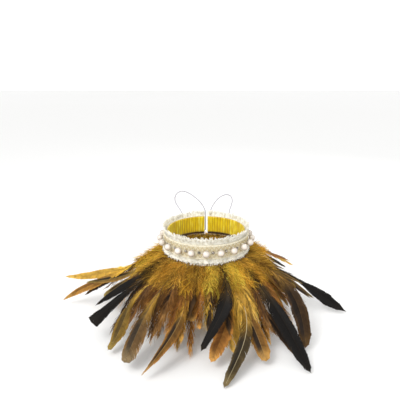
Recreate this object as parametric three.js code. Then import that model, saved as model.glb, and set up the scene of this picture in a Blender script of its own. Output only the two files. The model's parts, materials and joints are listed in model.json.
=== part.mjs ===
// Feather collar: a short feather boa worn round the neck. A stiffened ribbon band, open at the back, carries
// a pearl trim outside, a ruched satin lining inside and a skirt of cock-tail feathers below. Each feather
// swings on the stitches that hold its quill, and the band bends at its sides to open round the neck.
//
// Millimetres, +Z up. The origin is on the table under the middle of the neck. The front faces -Y and the
// back opening faces +Y. Left and right are as seen from the front, so left is -X.
import * as THREE from "three";

const { degToRad, lerp } = THREE.MathUtils;

// ---- Neck band: its layers from the neck outwards ------------------------------------------------------------
const NECK_RADIUS = 47; // inside of the lining
const LINING_THICKNESS = 1.6; // ruched satin, over the tops of its pleats
const STIFFENER_THICKNESS = 1.0; // buckram strip that keeps the band upright
const TAPE_THICKNESS = 1.2; // header tape that the quills are stitched to
const BRAID_THICKNESS = 1.6; // woven centre of the pearl trim
const FRILL_THICKNESS = 1.2;
const SEAM_GAP = 0.3; // between pieces that touch

const STIFFENER_INNER = NECK_RADIUS + LINING_THICKNESS + SEAM_GAP;
const TAPE_INNER = STIFFENER_INNER + STIFFENER_THICKNESS + SEAM_GAP;
const BRAID_INNER = TAPE_INNER + TAPE_THICKNESS + SEAM_GAP;
const BRAID_OUTER = BRAID_INNER + BRAID_THICKNESS;

// ---- Heights above the table ---------------------------------------------------------------------------------
const BAND_BASE = 84; // lower edge of the lining and the stiffener
const BAND_HEIGHT = 22;
const TAPE_DROP = 3.5; // how far the header tape shows below the band
const TAPE_HEIGHT = 13;
const BRAID_HEIGHT = 17;
const TOP_FRILL_TUCK = 4; // sewn in behind the braid
const TOP_FRILL_HEIGHT = 8; // shows above the braid
const TOP_FRILL_FLARE = 2.6;
const LOW_FRILL_HEIGHT = 4.6;
const LOW_FRILL_FLARE = 2.4;

const BAND_TOP = BAND_BASE + BAND_HEIGHT;
const TAPE_BASE = BAND_BASE - TAPE_DROP;
const BRAID_BASE = BAND_BASE + (BAND_HEIGHT - BRAID_HEIGHT) / 2;
const BRAID_TOP = BRAID_BASE + BRAID_HEIGHT;

// ---- Where the band bends and opens --------------------------------------------------------------------------
const BACK = 90; // azimuths in degrees, counter-clockwise from +X
const SECTION_ARC = 120; // three equal sections: left, front and right
const CLOSURE_GAP = 4; // between the two ends at the back
const BEND_GAP = 0.8; // between two sections, at the braid
const ARC_FACETS = 13; // flat facets along a section

// ---- Pearls --------------------------------------------------------------------------------------------------
const PEARL_RADIUS = 4;
const PEARLS_PER_SECTION = 7;

// ---- Feathers ------------------------------------------------------------------------------------------------
const FEATHER_SIDES = 6;
// Half width and half thickness along a feather: bare quill, downy base, flat vane, rounded tip.
const FEATHER_PROFILE = [
  { at: 0.0, width: 1.3, thickness: 0.8 },
  { at: 0.05, width: 1.4, thickness: 0.8 },
  { at: 0.14, width: 5.0, thickness: 1.9 },
  { at: 0.26, width: 7.5, thickness: 2.4 },
  { at: 0.4, width: 7.8, thickness: 1.7 },
  { at: 0.55, width: 7.6, thickness: 1.1 },
  { at: 0.7, width: 7.2, thickness: 0.8 },
  { at: 0.8, width: 6.8, thickness: 0.7 },
  { at: 0.88, width: 6.2, thickness: 0.7 },
  { at: 0.95, width: 4.8, thickness: 0.7 },
  { at: 1.0, width: 1.6, thickness: 0.7 },
];
const ROOT_RADIUS = TAPE_INNER + TAPE_THICKNESS / 2;
const ROOT_HEIGHT = TAPE_BASE - SEAM_GAP - FEATHER_PROFILE.at(0).thickness;
const LYING_FROM = 0.88; // share of a resting feather's run after which it lies on the table
const DROOP = 0.25; // share of an airborne feather's fall that comes from its curve
// The feathers of one side, from the back round to the front. yaw turns one away from straight out, in degrees.
// One with tip 0 rests on the table. The others stay in the air, with their tips at that height.
const SIDE_FEATHERS = [
  { yaw: 0, reach: 165, tip: 0 },
  { yaw: 2, reach: 130, tip: 25 },
  { yaw: 0, reach: 155, tip: 0 },
  { yaw: -2, reach: 135, tip: 28 },
  { yaw: 0, reach: 176, tip: 0 },
  { yaw: -6, reach: 168, tip: 52 },
  { yaw: 6, reach: 160, tip: 0 },
  { yaw: 3, reach: 164, tip: 22 },
  { yaw: 0, reach: 165, tip: 0 },
];

// ---- Elastic cord loops at the back opening ------------------------------------------------------------------
const CORD_DIAMETER = 1.5;
const CORD_SIDES = 8;
const CORD_STEP = 2.5 * CORD_DIAMETER;
const LEFT_CORD_ROUTE = [
  [-0.95, 50.2, 85.5],
  [-0.95, 50.3, 92],
  [-0.95, 50.5, 99],
  [-0.95, 51.0, 106],
  [-1.2, 52.4, 112.5],
  [-4.2, 55.0, 119],
  [-10.0, 58.4, 125.6],
  [-19.0, 62.6, 132],
  [-27.0, 65.4, 135.8],
  [-35.0, 67.2, 136.4],
  [-41.0, 67.6, 132.6],
  [-43.4, 66.6, 126.4],
  [-41.8, 64.2, 120],
  [-37.6, 60.4, 114.4],
  [-33.4, 54.8, 109],
  [-31.2, 49.2, 103],
  [-30.5, 46.2, 98],
  [-30.4, 45.6, 93],
];
const RIGHT_CORD_ROUTE = [
  [4.2, 54.2, 93],
  [4.2, 54.2, 98],
  [4.5, 55.0, 104],
  [6.0, 57.0, 111],
  [9.4, 60.0, 118],
  [14.4, 63.0, 124.4],
  [20.6, 65.6, 129.2],
  [27.6, 67.4, 131.6],
  [33.8, 67.8, 129.8],
  [36.6, 66.0, 124.6],
  [35.6, 62.8, 118.8],
  [33.0, 57.8, 113],
  [31.4, 52.0, 107],
  [30.6, 47.4, 101.5],
  [30.4, 45.8, 97],
  [30.4, 45.6, 92.5],
];

// ---- Materials -----------------------------------------------------------------------------------------------
const matt = (color, roughness = 0.85) => new THREE.MeshStandardMaterial({ color, roughness, metalness: 0 });
const SATIN = matt(0xe3c916, 0.4);
const BUCKRAM = matt(0xe9e4d4);
const TAPE = matt(0x5a4526);
const IVORY = matt(0xd9cda6);
const WHITE = matt(0xf3f1e6);
const PEARL = matt(0xf2ebe0, 0.2);
const GOLD_FEATHER = matt(0xb57f25, 0.6);
const DARK_FEATHER = matt(0x35291c, 0.45);
const ELASTIC = matt(0xeceaf2, 0.55);

const collar = new THREE.Group();

function add(name, geometry, material) {
  const mesh = new THREE.Mesh(geometry, material);
  mesh.name = name;
  collar.add(mesh);
  return mesh;
}

// An upright ribbon bent round the neck. Each ring is a height and how far the ribbon leans out there.
function bentRibbon(inner, thickness, rings, arc) {
  const outline = [];
  for (let i = 0; i <= ARC_FACETS; i++) {
    const azimuth = lerp(arc.from, arc.to, i / ARC_FACETS);
    const out = new THREE.Vector2(Math.cos(azimuth), Math.sin(azimuth));
    outline.push(out.clone().multiplyScalar(inner + thickness));
    outline.unshift(out.multiplyScalar(inner));
  }
  const levels = rings.length - 1;
  const shape = new THREE.Shape(outline);
  const ribbon = new THREE.ExtrudeGeometry(shape, { depth: levels, steps: levels, bevelEnabled: false });
  const point = ribbon.getAttribute("position");
  for (let i = 0; i < point.count; i++) {
    const ring = rings[Math.round(point.getZ(i))];
    const radius = Math.hypot(point.getX(i), point.getY(i));
    const stretch = (radius + ring.lean) / radius;
    point.setXYZ(i, point.getX(i) * stretch, point.getY(i) * stretch, ring.z);
  }
  return ribbon;
}

const upright = (base, height) => [
  { z: base, lean: 0 },
  { z: base + height, lean: 0 },
];

function addBandSection(side, arc) {
  const bandRings = upright(BAND_BASE, BAND_HEIGHT);
  const tapeRings = upright(TAPE_BASE, TAPE_HEIGHT);
  const braidRings = upright(BRAID_BASE, BRAID_HEIGHT);
  add(`lining_${side}`, bentRibbon(NECK_RADIUS, LINING_THICKNESS, bandRings, arc), SATIN);
  add(`stiffener_${side}`, bentRibbon(STIFFENER_INNER, STIFFENER_THICKNESS, bandRings, arc), BUCKRAM);
  add(`header_tape_${side}`, bentRibbon(TAPE_INNER, TAPE_THICKNESS, tapeRings, arc), TAPE);
  add(`braid_${side}`, bentRibbon(BRAID_INNER, BRAID_THICKNESS, braidRings, arc), IVORY);
  const topRings = [
    { z: BRAID_TOP - TOP_FRILL_TUCK, lean: 0 },
    { z: BRAID_TOP, lean: 0 },
    { z: BRAID_TOP + TOP_FRILL_HEIGHT / 2, lean: TOP_FRILL_FLARE / 3 },
    { z: BRAID_TOP + TOP_FRILL_HEIGHT, lean: TOP_FRILL_FLARE },
  ];
  add(`top_frill_${side}`, bentRibbon(TAPE_INNER, FRILL_THICKNESS, topRings, arc), WHITE);
  const frillTop = BRAID_BASE - SEAM_GAP;
  const lowRings = [
    { z: frillTop - LOW_FRILL_HEIGHT, lean: LOW_FRILL_FLARE },
    { z: frillTop - LOW_FRILL_HEIGHT / 2, lean: LOW_FRILL_FLARE / 3 },
    { z: frillTop, lean: 0 },
  ];
  add(`low_frill_${side}`, bentRibbon(BRAID_INNER, FRILL_THICKNESS, lowRings, arc), WHITE);
}

function addPearls() {
  const count = 3 * PEARLS_PER_SECTION;
  const radius = BRAID_OUTER + SEAM_GAP + PEARL_RADIUS;
  for (let i = 0; i < count; i++) {
    const azimuth = degToRad(BACK + ((i + 0.5) * 360) / count);
    const bead = new THREE.SphereGeometry(PEARL_RADIUS, 8, 6);
    const pearl = add(`pearl_${String(i + 1).padStart(2, "0")}`, bead, PEARL);
    pearl.position.set(radius * Math.cos(azimuth), radius * Math.sin(azimuth), (BRAID_BASE + BRAID_TOP) / 2);
    pearl.rotation.z = azimuth - Math.PI / 2; // a pole of the sphere faces the braid
  }
}

// The middle line of a feather in its own upright plane: x straight out from the root, y the height.
function middleLine({ reach, tip }) {
  const run = reach - ROOT_RADIUS;
  if (tip > 0) {
    const fall = ROOT_HEIGHT - tip;
    return (share) => new THREE.Vector2(share * run, ROOT_HEIGHT - fall * lerp(share, share * share, DROOP));
  }
  const lying = FEATHER_PROFILE.at(-1).thickness * Math.cos(Math.PI / FEATHER_SIDES);
  return (share) => {
    const left = Math.max(0, 1 - share / LYING_FROM);
    return new THREE.Vector2(share * run, lerp(lying, ROOT_HEIGHT, left));
  };
}

// A closed rod of flattened section that follows the middle line, with a flat side below.
function featherGeometry(feather) {
  const line = middleLine(feather);
  const last = FEATHER_PROFILE.length - 1;
  const rod = new THREE.CylinderGeometry(1, 1, last, FEATHER_SIDES, last, false, Math.PI / FEATHER_SIDES);
  const point = rod.getAttribute("position");
  for (let i = 0; i < point.count; i++) {
    const { at, width, thickness } = FEATHER_PROFILE[Math.round(point.getY(i) + last / 2)];
    const centre = line(at);
    const along = line(at + 0.01).sub(centre).normalize();
    const lift = point.getZ(i) * thickness;
    point.setXYZ(i, centre.x - along.y * lift, -point.getX(i) * width, centre.y + along.x * lift);
  }
  return rod;
}

function addFeathers() {
  const count = 2 * SIDE_FEATHERS.length;
  for (let i = 0; i < count; i++) {
    const onLeft = i < SIDE_FEATHERS.length;
    const plan = SIDE_FEATHERS[onLeft ? i : count - 1 - i];
    const azimuth = degToRad(BACK + ((i + 0.5) * 360) / count);
    const yaw = degToRad(onLeft ? plan.yaw : -plan.yaw);
    const material = plan.tip > 0 ? DARK_FEATHER : GOLD_FEATHER;
    const feather = add(`feather_${String(i + 1).padStart(2, "0")}`, featherGeometry(plan), material);
    feather.position.set(ROOT_RADIUS * Math.cos(azimuth), ROOT_RADIUS * Math.sin(azimuth), 0);
    feather.rotation.z = azimuth + yaw;
  }
}

function cordGeometry(route) {
  const line = new THREE.CatmullRomCurve3(route.map((place) => new THREE.Vector3(...place)));
  const section = [];
  for (let i = 0; i < CORD_SIDES; i++) {
    const angle = (2 * Math.PI * i) / CORD_SIDES;
    section.push(new THREE.Vector2(Math.cos(angle), Math.sin(angle)).multiplyScalar(CORD_DIAMETER / 2));
  }
  const steps = Math.ceil(line.getLength() / CORD_STEP);
  return new THREE.ExtrudeGeometry(new THREE.Shape(section), { steps, extrudePath: line });
}

const closureHalf = Math.asin(CLOSURE_GAP / 2 / NECK_RADIUS);
const bendHalf = Math.asin(BEND_GAP / 2 / BRAID_OUTER);
const sectionEnd = (sections) => degToRad(BACK + sections * SECTION_ARC);
addBandSection("left", { from: sectionEnd(0) + closureHalf, to: sectionEnd(1) - bendHalf });
addBandSection("front", { from: sectionEnd(1) + bendHalf, to: sectionEnd(2) - bendHalf });
addBandSection("right", { from: sectionEnd(2) + bendHalf, to: sectionEnd(3) - closureHalf });
addPearls();
addFeathers();
add("cord_loop_left", cordGeometry(LEFT_CORD_ROUTE), ELASTIC);
add("cord_loop_right", cordGeometry(RIGHT_CORD_ROUTE), ELASTIC);

export default collar;
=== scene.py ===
"""Feather collar: the looks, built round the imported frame.

A satin-lined neck band with a braid, two frills and a row of pearls, two elastic cord loops at the back
opening, and sprays of cock feathers, one spray on each feather body. Sizes are in millimetres and azimuths in
degrees, counter-clockwise from +X. The front faces -Y. Meshes are turned into metres as they are made.
"""
import json
import math

import bpy
import numpy as np
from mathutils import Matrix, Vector


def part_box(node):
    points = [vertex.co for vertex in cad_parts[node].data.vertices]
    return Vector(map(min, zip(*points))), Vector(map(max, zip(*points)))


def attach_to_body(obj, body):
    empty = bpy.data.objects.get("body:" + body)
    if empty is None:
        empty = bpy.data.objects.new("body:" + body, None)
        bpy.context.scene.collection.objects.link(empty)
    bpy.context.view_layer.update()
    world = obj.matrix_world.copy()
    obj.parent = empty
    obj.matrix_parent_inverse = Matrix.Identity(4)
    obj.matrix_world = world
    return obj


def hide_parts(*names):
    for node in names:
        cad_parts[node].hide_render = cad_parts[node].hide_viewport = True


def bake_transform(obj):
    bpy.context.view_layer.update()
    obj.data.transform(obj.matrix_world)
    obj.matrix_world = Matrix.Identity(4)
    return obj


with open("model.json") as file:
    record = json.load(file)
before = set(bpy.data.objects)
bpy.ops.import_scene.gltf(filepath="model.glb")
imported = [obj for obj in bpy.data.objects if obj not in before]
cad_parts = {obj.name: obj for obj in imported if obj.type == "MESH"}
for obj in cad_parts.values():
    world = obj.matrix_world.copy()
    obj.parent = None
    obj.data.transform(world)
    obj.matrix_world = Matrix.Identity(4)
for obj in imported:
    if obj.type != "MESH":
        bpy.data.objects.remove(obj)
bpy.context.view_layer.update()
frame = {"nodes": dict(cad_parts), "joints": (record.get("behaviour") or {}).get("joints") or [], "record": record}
MM = 0.001
UP = np.array([0.0, 0.0, 1.0])
JOINTS = {joint["name"]: joint for joint in frame["joints"]}


# ---- What the frame says ----
def ring_of(node):
    """Inner and outer radius, lowest and highest level of a ribbon that is bent round the neck."""
    points = np.array([v.co for v in frame["nodes"][node].data.vertices]) / MM
    radius = np.hypot(points[:, 0], points[:, 1])
    return radius.min(), radius.max(), points[:, 2].min(), points[:, 2].max()


LINING = ring_of("lining_front")
STIFFENER = ring_of("stiffener_front")
TAPE = ring_of("header_tape_front")
BRAID = ring_of("braid_front")
TOP_FRILL = ring_of("top_frill_front")
LOW_FRILL = ring_of("low_frill_front")
RIM_HEIGHT = TOP_FRILL[3]
SIDES = ("left", "right")
FRONT_AZIMUTH = 270.0
CLOSURE_HALF = 2.44  # degrees from the middle of the back to each end of the band
FRILL_FULLNESS = 1.3
PLEAT_WIDTHS = (1.9, 4.6)
PLEAT_DEPTHS = (0.5, 1.5)
SATIN_THICKNESS = 0.35
FRILL_THICKNESS = 0.3
RIB_PITCH = 1.3
ROPE_PITCH = 2.6
WAVE_PITCH = 5.4
PICOT_PITCH = 1.15


def azimuths_of(side):
    """The azimuth at the middle of the front and at the back end of a half of the band."""
    turn = 180.0 - CLOSURE_HALF
    return FRONT_AZIMUTH, FRONT_AZIMUTH + (turn if side == "right" else -turn)


# ---- Camera and stage ----
CAMERA_DISTANCE = 0.5
CAMERA_ELEVATION = math.radians(19)
CAMERA_LENS = 36
CAMERA_SHIFT = (-0.015, 0.06)
FLOOR_SIZE = 60
WORLD_STRENGTH = 1.15
SUN_STRENGTH = 1.0
SUN_SOFTNESS = math.radians(50)
SUN_DIRECTION = (0.35, 0.6, -1.0)
LIGHT_TARGET = (0, 0, 0.06)


def linked(name, data, place=(0, 0, 0), towards=None):
    """A new object in the scene, which looks towards a direction if one is given."""
    thing = bpy.data.objects.new(name, data)
    thing.location = place
    if towards is not None:
        thing.rotation_euler = Vector(towards).to_track_quat("-Z", "Y").to_euler()
    bpy.context.scene.collection.objects.link(thing)
    return thing


def make_camera():
    away = Vector((0, -math.cos(CAMERA_ELEVATION), math.sin(CAMERA_ELEVATION)))
    data = bpy.data.cameras.new("camera")
    data.sensor_width = 36
    data.lens = CAMERA_LENS
    data.shift_x, data.shift_y = CAMERA_SHIFT
    place = Vector((0, 0, RIM_HEIGHT * MM)) + away * CAMERA_DISTANCE
    bpy.context.scene.camera = linked("camera", data, place, -away)


def add_light(name, place, size, power):
    data = bpy.data.lights.new(name, "AREA")
    data.shape = "DISK"
    data.size = size
    data.energy = power
    linked(name, data, place, Vector(LIGHT_TARGET) - Vector(place))


def make_stage():
    bpy.ops.mesh.primitive_plane_add(size=FLOOR_SIZE, location=(0, 0, 0))
    floor = bpy.context.object
    floor.name = "floor"
    material = new_material("floor_paint", {"Roughness": 0.9, "Specular IOR Level": 0.1})
    noise = add_node(material, "ShaderNodeTexNoise", {"Scale": 6.0}).outputs["Fac"]
    paint(material, add_ramp(material, noise, [(0.3, (0.93, 0.93, 0.92)), (0.7, (0.95, 0.95, 0.945))]))
    floor.data.materials.append(material)
    world = bpy.data.worlds.new("studio")
    world.use_nodes = True
    background = world.node_tree.nodes["Background"]
    direction = add_node(world, "ShaderNodeTexCoord")
    split = add_node(world, "ShaderNodeSeparateXYZ")
    join(world, direction.outputs["Generated"], split.inputs["Vector"])
    sky = add_ramp(world, split.outputs["Z"], [(0.3, (1, 1, 1)), (0.8, (0.5, 0.5, 0.5))])
    join(world, sky, background.inputs["Color"])
    background.inputs["Strength"].default_value = WORLD_STRENGTH
    bpy.context.scene.world = world
    bpy.context.scene.view_settings.view_transform = "Standard"
    sun = bpy.data.lights.new("sun", "SUN")
    sun.energy = SUN_STRENGTH
    sun.angle = SUN_SOFTNESS
    linked("sun", sun, towards=SUN_DIRECTION)
    add_light("key", (-0.4, -0.6, 0.8), 0.35, 3)
    add_light("fill", (0.5, 0.7, 0.7), 0.4, 2)


# ---- Material helpers ----
def new_material(name, settings):
    material = bpy.data.materials.new(name)
    material.use_nodes = True
    for key, value in settings.items():
        shader_input(material, key).default_value = value
    return material


def shader_input(material, name):
    return material.node_tree.nodes["Principled BSDF"].inputs[name]


def paint(material, color):
    join(material, color, shader_input(material, "Base Color"))


def add_node(material, kind, inputs=None, **settings):
    node = material.node_tree.nodes.new(kind)
    for key, value in settings.items():
        setattr(node, key, value)
    for key, value in (inputs or {}).items():
        node.inputs[key].default_value = value
    return node


def join(material, output, socket):
    material.node_tree.links.new(output, socket)


def add_ramp(material, factor, stops):
    ramp = add_node(material, "ShaderNodeValToRGB")
    elements = ramp.color_ramp.elements
    while len(elements) < len(stops):
        elements.new(0.5)
    for element, (place, color) in zip(elements, stops):
        element.position = place
        element.color = (*color, 1)
    join(material, factor, ramp.inputs["Fac"])
    return ramp.outputs["Color"]


def attribute(material, name, output):
    return add_node(material, "ShaderNodeAttribute", attribute_name=name).outputs[output]


def noise_on(material, scale, detail=2.0, vector=None, **inputs):
    """Noise that stays fixed to the object, or to the coordinates given."""
    noise = add_node(material, "ShaderNodeTexNoise", {"Scale": scale, "Detail": detail, **inputs})
    vector = vector or add_node(material, "ShaderNodeTexCoord").outputs["Object"]
    join(material, vector, noise.inputs["Vector"])
    return noise.outputs["Fac"]


def bands(material, scale, distortion, vector, direction="DIAGONAL"):
    """Fine bands, as of threads. Slanting ones look like twisted thread."""
    settings = {"Scale": scale, "Distortion": distortion, "Detail": 1.0}
    wave = add_node(material, "ShaderNodeTexWave", settings, bands_direction=direction)
    join(material, vector, wave.inputs["Vector"])
    return wave.outputs["Fac"]


def mixed(material, factor, first, second, blend="MIX"):
    """Mixes two colours, each given as an output or as a value."""
    mix = add_node(material, "ShaderNodeMix", data_type="RGBA", blend_type=blend)
    for socket, value in ((mix.inputs["Factor"], factor), (mix.inputs[6], first), (mix.inputs[7], second)):
        if isinstance(value, bpy.types.NodeSocket):
            join(material, value, socket)
        else:
            socket.default_value = value if socket.type == "VALUE" else (*value, 1)
    return mix.outputs[2]


def add_bump(material, height, strength, distance):
    bump = add_node(material, "ShaderNodeBump", {"Strength": strength, "Distance": distance})
    join(material, height, bump.inputs["Height"])
    join(material, bump.outputs["Normal"], shader_input(material, "Normal"))


def weave(material, coordinates, across, along):
    """The height of a plain weave, from the cloth's own coordinates in millimetres."""
    heights = []
    for direction, count in (("X", across), ("Y", along)):
        heights.append(bands(material, count, 0.8, coordinates, direction))
    add = add_node(material, "ShaderNodeMath", operation="ADD")
    for height, socket in zip(heights, add.inputs):
        join(material, height, socket)
    return add.outputs["Value"]


# ---- Mesh helpers ----
def stacked(*parts):
    return np.stack(np.broadcast_arrays(*parts), -1)


def running_total(steps):
    return np.concatenate([[0], np.cumsum(steps)])


class Shape:
    """Points and faces that grow piece by piece. Every point has a colour tone and a place on the cloth."""

    def __init__(self):
        self.points = []
        self.tones = []
        self.cloths = []
        self.maps = []
        self.loops = []
        self.sizes = []
        self.count = 0

    def add(self, points, faces, tone=(1, 1, 1), cloth=None, corner_map=None):
        """faces is a list of arrays, each with one row of point numbers to a face."""
        points = np.asarray(points, float).reshape(-1, 3)
        tones = np.broadcast_to(np.asarray(tone, float), (len(points), 3))
        self.points.append(points)
        self.tones.append(tones)
        self.cloths.append(np.zeros((len(points), 3)) if cloth is None else cloth.reshape(-1, 3))
        point_map = np.zeros((len(points), 2)) if corner_map is None else corner_map.reshape(-1, 2)
        for rows in faces:
            rows = np.asarray(rows)
            self.loops.append(rows.ravel() + self.count)
            self.sizes.append(np.full(len(rows), rows.shape[1]))
            self.maps.append(point_map[rows.ravel()])
        self.count += len(points)

    def build(self, name, material, smooth=True, mapped=False):
        mesh = bpy.data.meshes.new(name)
        loops, sizes = np.concatenate(self.loops), np.concatenate(self.sizes)
        mesh.vertices.add(self.count)
        mesh.vertices.foreach_set("co", (np.concatenate(self.points) * MM).ravel())
        mesh.loops.add(len(loops))
        mesh.loops.foreach_set("vertex_index", loops)
        mesh.polygons.add(len(sizes))
        mesh.polygons.foreach_set("loop_start", running_total(sizes[:-1]))
        mesh.polygons.foreach_set("use_smooth", np.full(len(sizes), smooth))
        mesh.update(calc_edges=True)
        tones = np.concatenate(self.tones)
        layer = mesh.attributes.new("tone", "FLOAT_COLOR", "POINT")
        layer.data.foreach_set("color", np.c_[tones, np.ones(len(tones))].ravel())
        layer = mesh.attributes.new("cloth", "FLOAT_VECTOR", "POINT")
        layer.data.foreach_set("vector", np.concatenate(self.cloths).ravel())
        if mapped:
            uv = mesh.uv_layers.new(name="OFBake")
            uv.data.foreach_set("uv", np.concatenate(self.maps).ravel())
        mesh.materials.append(material)
        return linked(name, mesh)


def sheet_faces(rows, columns):
    """Faces of a closed thin sheet: a front grid, a back grid of as many points, and the edge round them."""
    size = rows * columns
    number = np.arange(size).reshape(rows, columns)
    corners = [number[:-1, :-1], number[1:, :-1], number[1:, 1:], number[:-1, 1:]]
    front = np.stack(corners, -1).reshape(-1, 4)
    rim = np.concatenate([number[0, :-1], number[:-1, -1], number[-1, :0:-1], number[:0:-1, 0]])
    ahead = np.roll(rim, -1)
    edge = np.stack([rim, ahead, ahead + size, rim + size], -1)
    return [front, front[:, ::-1] + size, edge]


def add_sheet(shape, front, back, cloth, tone=(1, 1, 1)):
    """A closed thin sheet with its front and its back on two grids of points."""
    points = np.concatenate([front.reshape(-1, 3), back.reshape(-1, 3)])
    shape.add(points, sheet_faces(*front.shape[:2]), tone, np.concatenate([cloth.reshape(-1, 3)] * 2))


def tube_faces(steps, sides):
    number = np.arange(steps * sides).reshape(steps, sides)
    ahead = np.roll(number, -1, 1)
    walls = np.stack([number[:-1], ahead[:-1], ahead[1:], number[1:]], -1).reshape(-1, 4)
    return [walls, number[:1, ::-1], number[-1:]]


def unit(vectors):
    return vectors / np.maximum(np.linalg.norm(vectors, axis=-1, keepdims=True), 1e-12)


def rings_round(path, across, over, radius, sides):
    """Points round a path, and the angle of each point of a ring."""
    turn = np.linspace(0, 2 * np.pi, sides, endpoint=False)
    ring = across[:, None] * np.cos(turn)[None, :, None] + over[:, None] * np.sin(turn)[None, :, None]
    return path[:, None] + ring * np.broadcast_to(radius, len(path))[:, None, None], turn


def add_tube(shape, path, radius, normals, sides):
    """A round thread along path. normals is any direction across it, at each point."""
    tangent = unit(np.gradient(path, axis=0))
    across = unit(np.cross(tangent, normals))
    points, turn = rings_round(path, across, np.cross(across, tangent), radius, sides)
    length = running_total(np.linalg.norm(np.diff(path, axis=0), axis=1))
    shape.add(points, tube_faces(len(path), sides), cloth=stacked(length[:, None], turn[None, :], 0.0))


def on_band(azimuth, radius, height):
    angle = np.radians(azimuth)
    return stacked(radius * np.cos(angle), radius * np.sin(angle), height)


def finish_half(piece, replaced=()):
    """Bakes a half of a layer into place, and hides the frame's parts that it stands for."""
    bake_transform(piece)
    if replaced:
        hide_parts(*replaced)
    return piece


def attach(piece, body, slot, *replaced):
    """Fixes a piece to one body."""
    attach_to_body(piece, body)
    if replaced:
        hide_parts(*replaced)


def nodes_of(layer, side):
    """The CAD nodes that a half of this layer stands for. The left half stands for the front one too."""
    return (f"{layer}_{side}",) + ((f"{layer}_front",) if side == "left" else ())


# ---- Neck band ----
def band_grid(side, columns):
    """Azimuths of the columns of a half, in the order that makes its faces look outwards."""
    front, back = azimuths_of(side)
    return np.linspace(min(front, back), max(front, back), columns)


def arc_of(azimuth, radius):
    """Millimetres round the band from the middle of the front, where both halves' patterns start."""
    return np.radians(azimuth - FRONT_AZIMUTH) * radius


def plain_ribbon(name, side, layer, ring, material, columns=120, rows=5):
    inner, outer, low, high = ring
    azimuth = band_grid(side, columns)[None, :]
    height = np.linspace(low, high, rows)[:, None]
    shape = Shape()
    front = on_band(azimuth, outer, height)
    back = on_band(azimuth, inner, height)
    cloth = stacked(np.radians(azimuth) * outer, height, 0.0)
    add_sheet(shape, front[::-1], back[::-1], cloth[::-1])
    finish_half(shape.build(f"{name}_{side}", material), nodes_of(layer, side))


def pleated_lining(side, material):
    """Ruched satin: narrow upright pleats of uneven width, each leaning and fading a little on its way up."""
    rng = np.random.default_rng(11)
    inner, outer, low, high = LINING
    columns, rows = 620, 15
    azimuth = band_grid(side, columns)
    arc = arc_of(azimuth, inner)
    edges = np.cumsum(rng.uniform(*PLEAT_WIDTHS, 110)) - 170
    slant = np.interp(arc, edges, rng.normal(0, 0.45, len(edges)))
    depth = rng.uniform(*PLEAT_DEPTHS, len(edges))
    phase = rng.uniform(0, 1, len(edges))
    up = np.linspace(0, 1, rows)[:, None]
    place = np.clip(arc[None, :] + slant[None, :] * (up - 0.5) * 2, arc.min(), arc.max())
    pleat = np.searchsorted(edges, place, side="right") - 1
    share = (place - edges[pleat]) / (edges[pleat + 1] - edges[pleat])
    swell = np.sin(np.pi * np.clip(share, 0, 1)) ** 0.8
    fade = 1 - 0.4 * np.sin(2 * np.pi * (0.7 * up + phase[pleat])) ** 2
    pinch = 0.5 + 0.5 * np.sin(np.pi * up) ** 0.5
    fold = swell * depth[pleat] * fade * pinch
    height = low + up * (high - low)
    base = outer - SATIN_THICKNESS
    inside = on_band(azimuth[None, :], base - fold, height)
    outside = on_band(azimuth[None, :], base + SATIN_THICKNESS - fold * 0.2, height)
    cloth = stacked(arc[None, :], height, fold)
    shape = Shape()
    # The fold depth is kept as each point's tone, from which the satin paints shade in the creases and a highlight
    # on the pleat crowns.
    tone = np.repeat(np.concatenate([fold.ravel(), fold.ravel()])[:, None], 3, 1)
    add_sheet(shape, inside, outside, cloth, tone)
    piece = shape.build(f"satin_{side}", material)
    finish_half(piece, nodes_of("lining", side))


def braid_cloth(side, material):
    """The woven ground of the pearl trim, with small ribs across it."""
    inner, outer, low, high = BRAID
    columns, rows = 520, 18
    azimuth = band_grid(side, columns)[None, :]
    arc = arc_of(azimuth, outer)
    up = np.linspace(0, 1, rows)[:, None]
    ribs = 0.18 * np.sin(2 * np.pi * arc / RIB_PITCH + 2.2 * np.sin(9 * up)) * np.sin(np.pi * up)
    height = low + up * (high - low)
    ground = outer - 0.75
    front = on_band(azimuth, ground + ribs, height)
    back = on_band(azimuth, inner, height)
    cloth = stacked(arc, height, 0.0)
    shape = Shape()
    add_sheet(shape, front[::-1], back[::-1], cloth[::-1])
    piece = shape.build(f"braid_cloth_{side}", material)
    finish_half(piece, nodes_of("braid", side))
    return piece, (high - low, float(arc.max() - arc.min()))


def gimp_cords(side, material, gold):
    """Cords sewn on the braid: a rope along each edge, and crossing waves above and below the pearls."""
    _, outer, low, high = BRAID
    azimuth = np.linspace(*azimuths_of(side), 640)
    arc = arc_of(azimuth, outer)
    radial = on_band(azimuth, 1.0, 0.0)
    middle = (low + high) / 2
    ivory = Shape()
    threads = Shape()
    for edge in (-1, 1):
        level = middle + edge * (high - low - 1.8) / 2
        for strand in range(2):
            turn = 2 * np.pi * arc / ROPE_PITCH + strand * np.pi
            path = on_band(azimuth, outer - 0.35 + 0.28 * np.cos(turn), level + 0.42 * np.sin(turn))
            add_tube(ivory, path, 0.46, radial, 6)
        for strand in range(2):
            turn = 2 * np.pi * arc / WAVE_PITCH + strand * np.pi
            wave = 1.75 * np.sin(turn)
            over = outer - 0.4 + 0.3 * np.cos(2 * turn + strand * np.pi)
            path = on_band(azimuth, over, middle + edge * 4.3 + wave)
            add_tube(ivory if strand else threads, path, 0.36, radial, 6)
        level = middle + edge * 2.3 + 0.5 * np.sin(4 * np.pi * arc / WAVE_PITCH)
        add_tube(threads, on_band(azimuth, outer - 0.15, level), 0.2, radial, 5)
    pieces = []
    for name, shape, look in (("gimp", ivory, material), ("gold_thread", threads, gold)):
        pieces.append(finish_half(shape.build(f"{name}_{side}", look)))
    return pieces


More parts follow.
